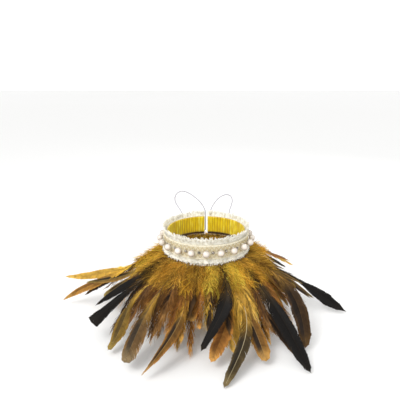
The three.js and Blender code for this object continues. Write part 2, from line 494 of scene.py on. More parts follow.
def frill(name, side, layer, ring, rises, material, seed):
    """A gathered ruffle with a ragged free edge. rises is 1 for the top frill, -1 for the low one."""
    rng = np.random.default_rng(seed)
    inner, outer, low, high = ring
    columns, rows = 1100, 9
    azimuth = band_grid(side, columns)
    arc = arc_of(azimuth, inner)
    knots = np.arange(-170, 171, 3.0)
    drift = np.interp(arc, knots, np.cumsum(rng.normal(0, 0.5, len(knots))))
    waves = np.sin(2 * np.pi * arc / 3.9 + drift) + 0.45 * np.sin(2 * np.pi * arc / 2.3 - 1.7 * drift)
    deep = np.interp(arc, knots + 1.5, rng.uniform(0.55, 1.25, len(knots)))
    teeth = np.abs(((arc / 1.7 + 0.3 * drift) % 1) - 0.5) * 2
    bite = np.interp(arc, knots * 0.6, rng.uniform(0.1, 1.9, len(knots))) * (0.35 + 0.65 * teeth)
    root, tip = (low, high) if rises > 0 else (high, low)
    sewn = 0.3 if rises > 0 else 0.12
    free = np.linspace(0, 1, rows)[:, None]
    loose = np.clip((free - sewn) / (1 - sewn), 0, 1)
    height = root + (tip - root) * free - rises * bite * loose**2
    lean = (outer - inner - 1.2) * loose**2
    radius = inner + 0.25 + lean + 0.75 * waves * deep * loose**0.8
    front = on_band(azimuth, radius + FRILL_THICKNESS, height)
    back = on_band(azimuth, radius, height)
    cloth = stacked(arc, height, loose)
    order = slice(None, None, -1) if rises > 0 else slice(None)
    shape = Shape()
    add_sheet(shape, front[order], back[order], cloth[order])
    piece = finish_half(shape.build(f"{name}_{side}", material), nodes_of(layer, side))
    picots = picot_loops(f"{name}_picots_{side}", side, ring, rises, material, rng)
    return piece, picots, (high - low, float(arc.max() - arc.min()) * FRILL_FULLNESS)


def picot_loops(name, side, ring, rises, material, rng):
    """Small uneven loops of thread that stand out along the free edge of a frill."""
    _, outer, low, high = ring
    front, back = azimuths_of(side)
    shape = Shape()
    count = int(np.radians(abs(back - front)) * outer / PICOT_PITCH)
    tall = min(high - low, 7.0)
    tip = high if rises > 0 else low
    for i in range(count):
        centre = front + (back - front) * (i + 0.5) / count
        rise = tall * rng.uniform(0.55, 1.0)
        beyond = rng.choice([0.0, 0.8, 2.0], p=[0.4, 0.35, 0.25]) + rng.uniform(-0.3, 0.4)
        tilt = rng.normal(0, 0.8)
        out = outer - 0.9 + rng.uniform(-1.1, 0.8)
        half = rng.uniform(0.4, 0.8)
        turn = np.linspace(0, np.pi, 9)
        sideways = half * np.cos(turn) + tilt * np.sin(turn)
        azimuth = centre + np.degrees(sideways / out)
        radius = out - 1.1 + 1.3 * np.sin(turn) ** 2
        height = tip - rises * rise + rises * (rise + beyond) * np.sin(turn) ** 0.6
        add_tube(shape, on_band(azimuth, radius, height), 0.3, on_band(azimuth, 1.0, 0.0), 5)
    return finish_half(shape.build(name, material))


# ---- Pearls and beads ----
SECTION_ENDS = {"left": (90, 209.5), "front": (209.5, 330.5), "right": (330.5, 450)}
CLEAR_OF_GAP = 5  # no crystal this close to the middle of the back
CUP_PROFILE = [(0, -0.2), (1.2, -0.2), (1.75, 0.4), (1.8, 1.1), (1.55, 1.1), (1.5, 0.7), (0, 0.7)]
STONE_PROFILE = [(0, 0.72), (1.35, 0.72), (1.45, 1.1), (0.8, 1.7), (0, 1.75)]
PEARL_SIDES = 28


def turned(profile, sides):
    """A solid of revolution about z from (radius, height) pairs that start and end on the axis."""
    profile = np.asarray(profile, float)
    turn = np.linspace(0, 2 * np.pi, sides, endpoint=False)
    body = profile[1:-1]
    rings = np.stack(
        [body[:, :1] * np.cos(turn), body[:, :1] * np.sin(turn), np.repeat(body[:, 1:], sides, 1)], -1
    ).reshape(-1, 3)
    ends = np.array([[0, 0, profile[0, 1]], [0, 0, profile[-1, 1]]])
    walls = tube_faces(len(body), sides)[0]
    first, last = len(rings), len(rings) + 1
    ring = np.arange(sides)
    top = ring + (len(body) - 1) * sides
    bottom_fan = np.stack([np.roll(ring, -1), ring, np.full(sides, first)], -1)
    top_fan = np.stack([top, np.roll(top, -1), np.full(sides, last)], -1)
    return np.concatenate([rings, ends]), [walls, bottom_fan, top_fan]


def pearl_profile(radius, hole=0.55):
    """A drilled bead, with its hole upright."""
    start = math.asin(hole / radius)
    side = [(radius * math.sin(a), -radius * math.cos(a)) for a in np.linspace(start, math.pi - start, 17)]
    inside = hole * 0.8
    return [(0, -radius + 0.9), (inside, -radius + 0.7), *side, (inside, radius - 0.7), (0, radius - 0.9)]


def make_pearls(material, thread):
    for section in SECTION_ENDS:
        body = f"{section}_band"
        stitches = Shape()
        names = sorted(n for n in frame["record"]["behaviour"]["bodies"][body] if n.startswith("pearl"))
        for name in names:
            low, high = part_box(name)
            centre = np.array((low + high) / 2) / MM
            azimuth = math.degrees(math.atan2(centre[1], centre[0]))
            distance = math.hypot(centre[0], centre[1])
            radius = (high.z - low.z) / 2 / MM
            points, faces = turned(pearl_profile(radius), PEARL_SIDES)
            shape = Shape()
            shape.add(points + centre, faces)
            attach(shape.build(f"bead_{name[-2:]}", material), body, "pearl", name)
            turn = np.linspace(-1.25, 1.25, 11)
            for rise in (-1, 1):
                path = on_band(
                    azimuth + 0.35 * turn,
                    distance - (distance - BRAID[1] + 0.5) * (np.abs(turn) / 1.25) ** 1.5,
                    centre[2] + rise * (radius - 0.55 + 0.55 * np.cos(turn)),
                )
                add_tube(stitches, path, 0.16, np.broadcast_to(UP, path.shape), 5)
        attach(stitches.build(f"pearl_stitches_{section}", thread), body, "ivory_braid")


def make_accents(cup_material, stone_material):
    """A small crystal in a metal cup between each two pearls."""
    pearls = sorted(n for n in frame["nodes"] if n.startswith("pearl"))
    places = []
    for name in pearls:
        low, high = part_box(name)
        centre = (low + high) / 2 / MM
        places.append((math.degrees(math.atan2(centre.y, centre.x)) % 360, centre.z))
    places.sort()
    pitch = 360 / len(places)
    for section, (start, end) in SECTION_ENDS.items():
        cups, stones = Shape(), Shape()
        for azimuth, level in places:
            between = (azimuth + pitch / 2) % 360
            turn = between if between > 90 else between + 360
            if not start < turn < end or min(turn - 90, 450 - turn) < CLEAR_OF_GAP:
                continue
            out = on_band(between, 1.0, 0.0)
            side = np.cross(UP, out)
            basis = np.stack([side, UP, out], -1)
            for shape, profile, sides in ((cups, CUP_PROFILE, 14), (stones, STONE_PROFILE, 8)):
                points, faces = turned(profile, sides)
                shape.add(points @ basis.T + on_band(between, BRAID[1] - 0.5, level), faces)
        for name, shape, look, smooth in (
            ("cups", cups, cup_material, True), ("crystals", stones, stone_material, False),
        ):
            attach(shape.build(f"{name}_{section}", look, smooth), f"{section}_band", "pearl")


# ---- Cord loops ----
CORD_DIAMETER = 1.5
LEFT_CORD_ROUTE = [
    (-0.95, 50.2, 85.5), (-0.95, 50.3, 92), (-0.95, 50.5, 99), (-0.95, 51.0, 106), (-1.2, 52.4, 112.5),
    (-4.2, 55.0, 119), (-10.0, 58.4, 125.6), (-19.0, 62.6, 132), (-27.0, 65.4, 135.8), (-35.0, 67.2, 136.4),
    (-41.0, 67.6, 132.6), (-43.4, 66.6, 126.4), (-41.8, 64.2, 120), (-37.6, 60.4, 114.4), (-33.4, 54.8, 109),
    (-31.2, 49.2, 103), (-30.5, 46.2, 98), (-30.4, 45.6, 93),
]
RIGHT_CORD_ROUTE = [
    (4.2, 54.2, 93), (4.2, 54.2, 98), (4.5, 55.0, 104), (6.0, 57.0, 111), (9.4, 60.0, 118),
    (14.4, 63.0, 124.4), (20.6, 65.6, 129.2), (27.6, 67.4, 131.6), (33.8, 67.8, 129.8), (36.6, 66.0, 124.6),
    (35.6, 62.8, 118.8), (33.0, 57.8, 113), (31.4, 52.0, 107), (30.6, 47.4, 101.5), (30.4, 45.8, 97),
    (30.4, 45.6, 92.5),
]


def smooth_route(route, per_span=8):
    """A Catmull-Rom curve through the points of a route."""
    points = np.array(route, float)
    padded = np.concatenate([[2 * points[0] - points[1]], points, [2 * points[-1] - points[-2]]])
    line = []
    for a, b, c, d in zip(padded, padded[1:], padded[2:], padded[3:]):
        for t in np.linspace(0, 1, per_span, endpoint=False):
            square, cube = 2 * a - 5 * b + 4 * c - d, 3 * b - a - 3 * c + d
            line.append(0.5 * (2 * b + (c - a) * t + square * t**2 + cube * t**3))
    return np.array([*line, points[-1]])


def make_cord(side, route, material):
    line = smooth_route(route) * MM
    curve = bpy.data.curves.new(f"elastic_{side}", "CURVE")
    curve.dimensions = "3D"
    curve.bevel_depth = CORD_DIAMETER / 2 * MM
    curve.bevel_resolution = 3
    curve.use_fill_caps = True
    spline = curve.splines.new("POLY")
    spline.points.add(len(line) - 1)
    for point, place in zip(spline.points, line):
        point.co = (*place, 1)
    curve.materials.append(material)
    cord = linked(f"elastic_{side}", curve)
    attach(cord, f"{side}_band", "elastic_cord", f"cord_loop_{side}")


# ---- Feathers ----
def srgb(text):
    """A colour written as on the web, in the linear values that Blender works in."""
    values = np.array([int(text[i:i + 2], 16) for i in (0, 2, 4)]) / 255
    return np.where(values <= 0.04045, values / 12.92, ((values + 0.055) / 1.055) ** 2.4)


# The colours of each kind of feather: its down, the middle, edge and tip of its vane, and its quill.
STYLES = {
    "mustard": ("fadb5c", "bf9a40", "deb24e", "e4be62", "b9924a"),
    "gold": ("eec248", "76501e", "b8883a", "cfa250", "a88346"),
    "orange": ("e4ae40", "70461a", "a97434", "d09c52", "946c34"),
    "brown": ("dcac4a", "50361c", "865d2e", "9a7444", "7a5a34"),
    "umber": ("9c7632", "20150c", "4a341a", "604828", "4a3820"),
    "olive": ("d6b04a", "2e281a", "9c7836", "988648", "7e6e4a"),
    "slate": ("b18a38", "32281c", "775930", "8a7757", "6e5f46"),
    "dusk": ("b18a38", "261f14", "51442a", "7c6d4a", "c4b796"),
    "moss": ("d2ac4a", "4e3e1c", "93742e", "988242", "8a7440"),
    "tabby": ("dcaa42", "2a1e12", "976b2e", "bc9250", "a08252"),
    "black": ("4a3a1e", "0b0806", "120e0b", "18130e", "241c14"),
}
PALETTE = {name: [srgb(color) for color in colors] for name, colors in STYLES.items()}
PALE_QUILL = srgb("dcc58e")

# How wide the vane is, as a share of its full width, at shares of the way from its start to its tip.
OUTLINES = {
    "blade": ((0, 0.6), (0.25, 0.92), (0.6, 1), (0.85, 0.74), (0.96, 0.4), (1, 0)),
    "paddle": ((0, 0.5), (0.35, 0.8), (0.72, 1), (0.9, 0.88), (0.98, 0.55), (1, 0)),
    "lance": ((0, 0.2), (0.35, 0.4), (0.62, 0.95), (0.72, 1), (0.88, 0.6), (1, 0)),
    "spear": ((0, 0.6), (0.1, 1), (0.35, 0.95), (0.7, 0.62), (0.94, 0.36), (1, 0)),
    "flared": ((0, 0.7), (0.4, 0.62), (0.8, 0.85), (0.985, 1), (1, 0)),
    "hackle": ((0, 0.95), (0.3, 1), (0.6, 0.68), (0.85, 0.36), (1, 0)),
    "curl": ((0, 0.3), (0.3, 0.42), (0.62, 1), (0.8, 0.86), (0.9, 0.52), (0.97, 0.46), (1, 0)),
    "willow": ((0, 0.5), (0.3, 0.85), (0.52, 1), (0.78, 0.66), (0.94, 0.26), (1, 0)),
}
FLOOR_CLEARANCE = 0.3
BARB_STATIONS = 5
BARB_PITCH = 0.95
BARB_COUNTS = (20, 110)
BARB_BREADTHS = (0.16, 1.3)
DOWN_BREADTH = 0.22
PITH_REACH = 0.97  # how far along the feather its quill is thick enough to make
ROD_EDGES = np.array([0.9, 0.5, 0.1])  # where the edges of a rod lie across its strip of the map


def smoothstep(low, high, values):
    share = np.clip((values - low) / (high - low), 0, 1)
    return share * share * (3 - 2 * share)


class Rachis:
    """The centre line of a feather, with a frame at each place: ahead, to its side and above its vane.

    It turns steadily by arch up and down and by sweep sideways, and sways once by bend.
    """

    def __init__(self, root, tip, arch, sweep, bend, roll, steps=32):
        root, tip = np.array(root, float), np.array(tip, float)
        chord = tip - root
        share = np.linspace(0, 1, steps)
        slope = math.atan2(chord[2], math.hypot(chord[0], chord[1]))
        up = slope + math.radians(arch) * (0.5 - share)
        sideways = math.radians(sweep) * (0.5 - share) + math.radians(bend) * np.sin(2 * np.pi * share)
        turn = math.atan2(chord[1], chord[0]) + sideways
        ahead = np.stack([np.cos(up) * np.cos(turn), np.cos(up) * np.sin(turn), np.sin(up)], -1)
        middle = (ahead[1:] + ahead[:-1]) / 2
        self.length = np.linalg.norm(chord) / np.linalg.norm(middle.mean(0))
        self.place = root + np.concatenate([[[0, 0, 0]], np.cumsum(middle, 0)]) * self.length / (steps - 1)
        self.place += share[:, None] * (tip - self.place[-1])
        side = unit(np.cross(UP, ahead))
        over = np.cross(ahead, side)
        lean = np.radians(roll) * share[:, None]
        self.ahead = ahead
        self.side = side * np.cos(lean) + over * np.sin(lean)
        self.over = over * np.cos(lean) - side * np.sin(lean)
        self.steps = share * self.length

    def at(self, along, table):
        return np.stack([np.interp(along, self.steps, table[:, i]) for i in range(3)], -1)

    def carry(self, along, across, over):
        """Places given along, across and above the vane, as points in space."""
        beyond = np.maximum(along - self.length, 0)[..., None]
        return (
            self.at(along, self.place)
            + self.at(along, self.ahead) * beyond
            + self.at(along, self.side) * across[..., None]
            + self.at(along, self.over) * over[..., None]
        )


def add_rods(shape, points, tone, u, v):
    """Thin closed rods with three edges. points, u and v go by rod, place along it and edge."""
    count, stations = points.shape[:2]
    number = np.arange(count * stations * 3).reshape(count, stations, 3)
    ahead = np.roll(number, -1, 2)
    walls = np.stack([number[:, :-1], ahead[:, :-1], ahead[:, 1:], number[:, 1:]], -1).reshape(-1, 4)
    caps = np.concatenate([number[:, 0, ::-1], number[:, -1]])
    tone = np.repeat(tone[:, :, None], 3, 2).reshape(-1, 3)
    shape.add(points, [walls, caps], tone, corner_map=stacked(u, v))


def barb_ends(outline, half, start, length, count):
    """Where the barbs end, evenly spaced along the edge of the vane: how far along the quill and from it."""
    shares, widths = np.array(OUTLINES[outline], float).T
    fine = np.linspace(0, 1, 300)
    span = np.clip(np.searchsorted(shares, fine, side="right") - 1, 0, len(shares) - 2)
    part = (fine - shares[span]) / (shares[span + 1] - shares[span])
    wide = half * (widths[span] + (widths[span + 1] - widths[span]) * part * (1.4 - 0.4 * part))
    along = (start + (1 - start) * fine) * length
    run = running_total(np.hypot(np.diff(along), np.diff(wide)))
    even = np.linspace(0, run[-1], count)
    return np.interp(even, run, along), np.interp(even, run, wide)


def clumps(rng, count, chance):
    """Neighbouring barbs that cling together, as a group number for each barb."""
    return np.cumsum(rng.random(count) < chance)


def by_group(rng, spread, groups):
    """A random amount that every barb of a group shares."""
    return rng.normal(0, spread, groups.max() + 1)[groups]


def group_mean(values, groups):
    total = np.bincount(groups, values)
    return (total / np.maximum(np.bincount(groups), 1))[groups]


def vane_tones(rng, style, along, walk, groups, loose, start, muted):
    """A colour for each place on each barb, from the down at the bottom to the middle, edge and tip."""
    down, middle, edge, end, _ = PALETTE[style]
    if muted:
        middle = middle + (edge - middle) * 0.45
    uneven = rng.normal(0, 0.09, len(groups)) + by_group(rng, 0.11, groups)
    shade = (1 + uneven * (1 + 1.3 * loose))[:, None, None]
    tone = middle + (edge - middle) * smoothstep(0.5, 0.92, walk)[None, :, None]
    tone = tone + (end - tone) * smoothstep(0.86, 1.0, along)[..., None]
    tone = down + (tone - down) * smoothstep(start - 0.02, start + 0.26, along)[..., None]
    return np.clip(tone * shade, 0, 1)


def add_vane(shape, rng, line, style, outline, width, start, soft, cell):
    """The two webs of a feather, of barbs that cling together, part here and there, and fray below soft."""
    walk = np.linspace(0, 1, BARB_STATIONS)
    count = int(np.clip(line.length * (1 - start) / BARB_PITCH, *BARB_COUNTS))
    for side in (-1, 1):
        half = width / 2 * rng.uniform(0.88, 1.06)
        end_along, end_across = barb_ends(outline, half, start, line.length, count)
        foot = np.linspace(max(0.02, start - half / line.length), 0.985, count) * line.length
        loose = 1 - smoothstep(soft - 0.16, soft + 0.1, foot / line.length)
        groups = clumps(rng, count, 0.1 + 0.16 * loose)
        cling = (0.05 + 0.6 * loose) * rng.uniform(0.3, 1.2, count)
        end_along = end_along + (group_mean(end_along, groups) - end_along) * cling
        end_along = end_along + half * loose * rng.uniform(0.3, 1.7, count)
        end_across = end_across * (1 - np.abs(rng.normal(0, 0.035 + 0.16 * loose)))
        end_across = end_across * (1 - np.abs(by_group(rng, 0.05, groups)))
        knee = foot + (end_along - foot) * 0.3
        ease = [(1 - walk) ** 2, 2 * walk * (1 - walk), walk**2]
        along = foot[:, None] * ease[0] + knee[:, None] * ease[1] + end_along[:, None] * ease[2]
        across = end_across[:, None] * (0.62 * ease[1] + ease[2])
        raised = by_group(rng, 0.25, groups)
        raised = raised + loose * (by_group(rng, 1.6, groups) + rng.normal(0, 1.0, count))
        sag = 0.12 * loose * end_across
        over = -0.014 * across**2 + (raised - sag)[:, None] * walk**2
        wave = np.sin(walk[None, :] * 7 + rng.uniform(0, 6.28, count)[:, None])
        across = across + 0.06 * (loose * end_across)[:, None] * wave * walk
        along_step, across_step = np.gradient(along, axis=1), np.gradient(across, axis=1)
        norm = np.maximum(np.hypot(along_step, across_step), 1e-6)
        along_next, across_next = np.gradient(along, axis=0), np.gradient(across, axis=0)
        gap = np.abs(along_next * across_step - across_next * along_step) / norm
        hair = 0.38 - 0.26 * walk[None, :]
        thin = loose[:, None] * smoothstep(0.05, 0.5, walk)[None, :]
        breadth = np.clip(gap * 0.7, *BARB_BREADTHS) * (1 - 0.2 * walk**3)
        breadth = breadth + (hair - breadth) * thin
        flat_along, flat_across = -across_step / norm * breadth, along_step / norm * breadth
        edges = [
            line.carry(along + sign * flat_along, side * (across + sign * flat_across), over + lift)
            for sign, lift in ((1, 0.0), (0, 0.2), (-1, 0.0))
        ]
        points = np.stack(edges, 2)
        if side > 0:
            points = points[:, :, ::-1]
        points[..., 2] = np.maximum(points[..., 2], FLOOR_CLEARANCE + 0.2 * (np.arange(3) == 1))
        tone = vane_tones(rng, style, along / line.length, walk, groups, loose, start, side > 0)
        left, right = cell
        u = (left + right) / 2 + side * (right - left) * 0.48 * (0.02 + 0.98 * walk)
        v = (np.arange(count)[:, None] + ROD_EDGES) / count
        add_rods(shape, points, tone, u[None, :, None], v[:, None, :])


def add_quill(shape, line, style, thick, cell):
    sides = 6
    steps = np.linspace(0, line.length * PITH_REACH, 16)
    share = steps / line.length
    path = line.carry(steps, 0 * steps, 0 * steps + 0.15)
    radius = thick * (1 - 0.82 * share**0.8)
    path[:, 2] = np.maximum(path[:, 2], FLOOR_CLEARANCE + radius)
    across = line.at(steps, line.side)
    over = np.cross(unit(np.gradient(path, axis=0)), across)
    points, turn = rings_round(path, across, over, radius, sides)
    color = PALETTE[style][4]
    tone = color + (PALE_QUILL - color) * (1 - smoothstep(0, 0.14, share))[:, None] * (style != "black")
    left, right = cell
    u = (left + right) / 2 + (right - left) * 0.008 * np.cos(turn)[None, :]
    tone = np.repeat(tone[:, None], sides, 1).reshape(-1, 3)
    shape.add(points, tube_faces(len(steps), sides), tone, corner_map=stacked(u, share[:, None]))


def add_down(shape, rng, line, style, length, until, strands, cell):
    """The soft barbs round the lower quill, long, limp and wavy, as far up it as until."""
    walk = np.linspace(0, 1, BARB_STATIONS)
    root = 1.0 + rng.random(strands) ** 0.8 * (until - 1.0)
    side = rng.choice([-1.0, 1.0], strands)
    lift = np.radians(rng.normal(22, 36, strands))
    lead = np.radians(rng.uniform(24, 82, strands))
    reach = length * rng.uniform(0.45, 1.0, strands) * (1 - 0.3 * (root / until) ** 2)
    curl = rng.normal(0, 0.2, strands)
    wave = rng.uniform(1.5, 4.0, strands)[:, None] * walk * np.pi + rng.uniform(0, 6.28, strands)[:, None]
    sway = 0.08 * reach[:, None] * walk * np.sin(wave)
    out = reach[:, None] * (walk - 0.25 * walk**2)
    along = root[:, None] + np.cos(lead)[:, None] * out + 0.35 * reach[:, None] * walk**2
    across = side[:, None] * (np.sin(lead) * np.cos(lift))[:, None] * out + sway
    over = (np.sin(lead) * np.sin(lift))[:, None] * out + (curl * reach)[:, None] * walk**2 + 0.6 * sway
    path = line.carry(along, across, over)
    path[..., 2] -= 0.14 * reach[:, None] * walk**2
    direction = unit(np.gradient(path, axis=1))
    flat = unit(np.cross(direction, rng.normal(0, 1, (strands, 1, 3))))
    breadth = DOWN_BREADTH * (1 - 0.62 * walk)[None, :] * rng.uniform(0.75, 1.25, strands)[:, None]
    lift = np.cross(flat, direction) * breadth[..., None]
    points = np.stack([path + flat * breadth[..., None], path + lift, path - flat * breadth[..., None]], 2)
    points[..., 2] = np.maximum(points[..., 2], FLOOR_CLEARANCE)
    # Each strand gets its own random brightness, and darkens towards its root: painted shade deep in the fluff.
    shade = rng.normal(1.0, 0.24, strands)[:, None, None] * (0.72 + 0.46 * walk)[None, :, None]
    down, middle = PALETTE[style][:2]
    dark = 0.85 * rng.random(strands)[:, None, None] ** 3
    tone = np.clip((down + (middle - down) * dark) * shade, 0, 1)
    left, right = cell
    u = left + (right - left) * (np.arange(strands)[:, None] + ROD_EDGES) / strands
    v = 0.02 + 0.96 * walk
    add_rods(shape, points, tone, u[:, None, :], v[None, :, None])


# Feathers with a shape of their own, by the body that carries them: the azimuth, reach and height of the tip,
# the width of the vane, its outline and style, and then what else sets it apart. shift is how far its root is
# turned from the body's, start is where the vane starts, and above soft its barbs hold together.
OWN_FEATHERS = {
    4: [
        (160, 130, 22, 14, "willow", "gold", dict(arch=6, sweep=5, start=0.3)),
        (152, 120, 18, 13, "paddle", "brown", dict(arch=4, sweep=-6, shift=-4, start=0.3)),
    ],
    5: [
        (183, 188, 9, 14, "willow", "gold", dict(arch=14, sweep=-20, bend=26, roll=-55, shift=3, start=0.34)),
        (182, 160, 14, 13, "willow", "umber",
         dict(arch=16, sweep=-16, bend=14, roll=-50, shift=6, start=0.3)),
        (176, 140, 14, 12, "hackle", "brown", dict(arch=4, shift=-4, roll=-30, soft=0.9)),
        (172, 128, 16, 4, "hackle", "black", dict(arch=22, bend=5, shift=-8, start=0.1, fluff=20)),
    ],
    6: [
        (187, 178, 50, 14, "willow", "mustard",
         dict(arch=-46, sweep=-10, bend=-12, roll=-50, shift=-5, start=0.34)),
        (190, 152, 44, 13, "willow", "olive",
         dict(arch=-36, sweep=-8, bend=8, roll=-40, shift=-4, start=0.3)),
        (196, 131, 30, 10, "paddle", "olive", dict(arch=4, roll=-35, shift=2, start=0.5)),
        (200, 120, 36, 14, "hackle", "brown", dict(arch=4, roll=-30, shift=4, soft=1.0)),
    ],
    7: [
        (216, 156, 28, 17, "flared", "black", dict(sweep=-4, bend=-6, roll=-24, start=0.36)),
        (207, 144, 34, 13, "willow", "black", dict(sweep=-10, bend=4, roll=-30, shift=-7, start=0.3)),
        (227, 154, 8, 18, "curl", "moss", dict(arch=14, sweep=30, bend=-30, roll=-10, shift=4, start=0.4)),
        (222, 136, 20, 18, "hackle", "brown", dict(arch=8, bend=5, start=0.28, soft=0.8, shift=3)),
        (226, 118, 34, 26, "hackle", "brown", dict(arch=14, shift=4, start=0.2, soft=1.0)),
    ],
    8: [
        (240, 163, 14, 24, "paddle", "slate", dict(arch=30, sweep=2, bend=-4, shift=-2, start=0.46)),
        (248, 167, 10, 16, "willow", "tabby", dict(arch=4, sweep=60, bend=4, shift=4, start=0.34)),
        (234, 128, 30, 28, "hackle", "brown", dict(arch=14, bend=4, shift=-5, start=0.2, soft=0.9)),
        (244, 126, 30, 28, "hackle", "brown", dict(arch=16, bend=-4, start=0.2, soft=1.0)),
        (239, 112, 40, 28, "hackle", "brown", dict(arch=18, shift=-2, start=0.18, soft=1.0)),
        (247, 116, 44, 26, "hackle", "brown", dict(arch=26, shift=2, start=0.18, soft=1.0)),
    ],
    9: [
        (261, 103, 36, 15, "paddle", "tabby", dict(arch=26, sweep=4, shift=2, start=0.38)),
        (259, 112, 40, 13, "willow", "umber", dict(arch=6, start=0.34)),
        (252, 126, 30, 26, "hackle", "orange", dict(arch=16, sweep=3, shift=-5, start=0.2, soft=0.9)),
        (257, 104, 46, 24, "hackle", "umber", dict(arch=16, shift=1, start=0.2, soft=1.0)),
    ],
    10: [
        (276, 164, 2, 15, "blade", "dusk", dict(arch=0, sweep=66, bend=14, shift=9, start=0.42)),
        (272, 138, 12, 20, "blade", "orange", dict(arch=14, sweep=60, bend=6, shift=7, start=0.42)),
        (268, 146, 31, 18, "spear", "black", dict(arch=30, sweep=50, bend=8, shift=9, start=0.3, fluff=90)),
        (281, 126, 32, 17, "hackle", "umber", dict(arch=16, sweep=8, shift=7, start=0.3, soft=0.8)),
    ],
    11: [
        (295, 146, 9, 17, "paddle", "tabby", dict(arch=18, sweep=2, bend=-3, shift=-2, start=0.36)),
        (302, 130, 20, 13, "hackle", "orange", dict(arch=18, sweep=14, bend=5, shift=4, soft=0.8)),
        (290, 118, 34, 26, "hackle", "mustard", dict(arch=20, shift=-3, start=0.18, soft=1.0)),
        (298, 112, 40, 24, "hackle", "mustard", dict(arch=24, shift=2, start=0.18, soft=1.0)),
        (291, 102, 44, 26, "hackle", "mustard", dict(arch=26, start=0.18, soft=1.0)),
    ],
    12: [
        (306, 178, 4, 20, "blade", "black", dict(arch=14, sweep=8, bend=3, roll=8, shift=-3, start=0.26)),
        (308, 152, 5, 12, "lance", "umber", dict(arch=10, sweep=10, bend=-14, shift=-1)),
        (315, 152, 6, 20, "blade", "umber", dict(arch=52, sweep=84, roll=14, shift=8, start=0.3)),
        (303, 126, 30, 22, "hackle", "brown", dict(arch=16, sweep=6, start=0.2, soft=1.0)),
    ],
    13: [
        (332, 120, 35, 15, "willow", "moss", dict(arch=14, sweep=10, roll=28, shift=-5)),
        (354, 125, 35, 8, "hackle", "olive", dict(arch=-8, bend=6, roll=30, shift=3, start=0.3)),
        (330, 130, 34, 20, "hackle", "brown",
         dict(arch=16, sweep=18, roll=15, shift=-7, start=0.24, soft=0.9)),
        (352, 107, 48, 6, "hackle", "umber", dict(arch=2, bend=-6, roll=30, shift=6, start=0.3)),
        (345, 134, 26, 7, "willow", "umber", dict(arch=8, bend=8, roll=30, start=0.3)),
        (341, 116, 42, 16, "hackle", "moss", dict(arch=12, roll=24, shift=2, start=0.24, soft=0.9)),
    ],
    14: [
        (350, 180, 5, 17, "lance", "black", dict(arch=-8, sweep=14, bend=10, roll=50, shift=-7)),
        (2, 118, 30, 9, "hackle", "brown", dict(arch=2, roll=20, shift=3, start=0.3, soft=0.9)),
        (356, 142, 12, 11, "willow", "olive", dict(arch=-6, bend=6, roll=35)),
    ],
}
# How steeply the shorter feathers of a body may fall: gently in front, steeper towards the back.
FRONT_FALL, SIDE_FALL, BACK_FALL = (30, 56), (36, 60), (46, 68)
LONG_FILLS, SHORT_FILLS = 6, 5
DOWN_STRANDS = 230
BACK_STYLES = ("olive", "gold", "umber", "brown", "slate", "mustard", "black", "orange")
# The colours of the shorter feathers, by body. Elsewhere they are drawn from all of these.
FILL_STYLES = {
    5: ("gold", "mustard", "brown"), 6: ("mustard", "gold", "brown"), 7: ("brown", "brown", "umber"),
    8: ("brown", "orange", "brown"), 9: ("orange", "gold", "umber"), 10: ("gold", "olive", "mustard"),
    11: ("mustard", "mustard", "gold"), 12: ("orange", "gold", "brown"), 13: ("brown", "orange", "moss"),
}
ALL_FILLS = ("gold", "brown", "orange", "mustard", "moss", "umber")


def body_root(number):
    """Where the feathers of a body are sewn on, and the heading, reach and height of its own feather."""
    joint = JOINTS[f"feather_{number:02d}_lift"]
    root = np.array(joint["pos_m"]) / MM
    heading = math.degrees(math.atan2(joint["axis"][0], -joint["axis"][1]))
    points = np.array([v.co for v in frame["nodes"][f"feather_{number:02d}"].data.vertices]) / MM
    far = points[np.argsort(np.hypot(points[:, 0], points[:, 1]))[-4:]].mean(0)
    return root, heading % 360, math.hypot(far[0], far[1]), far[2]


